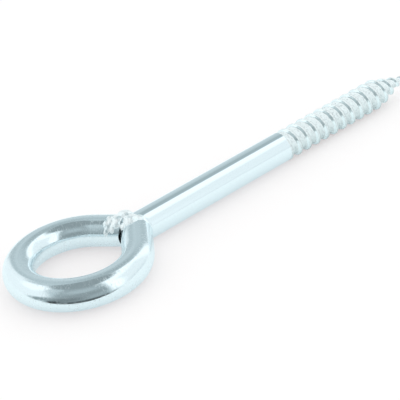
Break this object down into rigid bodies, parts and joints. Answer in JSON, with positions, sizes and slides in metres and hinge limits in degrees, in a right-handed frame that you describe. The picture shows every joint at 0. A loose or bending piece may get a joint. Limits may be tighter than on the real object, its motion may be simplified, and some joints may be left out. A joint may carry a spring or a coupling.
{
  "type": "screw eye",
  "caption": "Zinc-plated steel screw eye: a round bar bent into a welded closed eye, with a plain shank and a coarse wood thread with a gimlet point.",
  "frame": {"origin": "centre of the eye, on the centre line of the bar", "axes": "+X along the shank towards the point, +Z square to the plane of the eye, up as it lies"},
  "size_m": [0.2019, 0.0558, 0.0141],
  "materials": {
    "steel": "bright blue-white zinc plate on steel"
  },
  "bodies": {
    "root": {"screw_eye": "steel"}
  },
  "joints": []
}
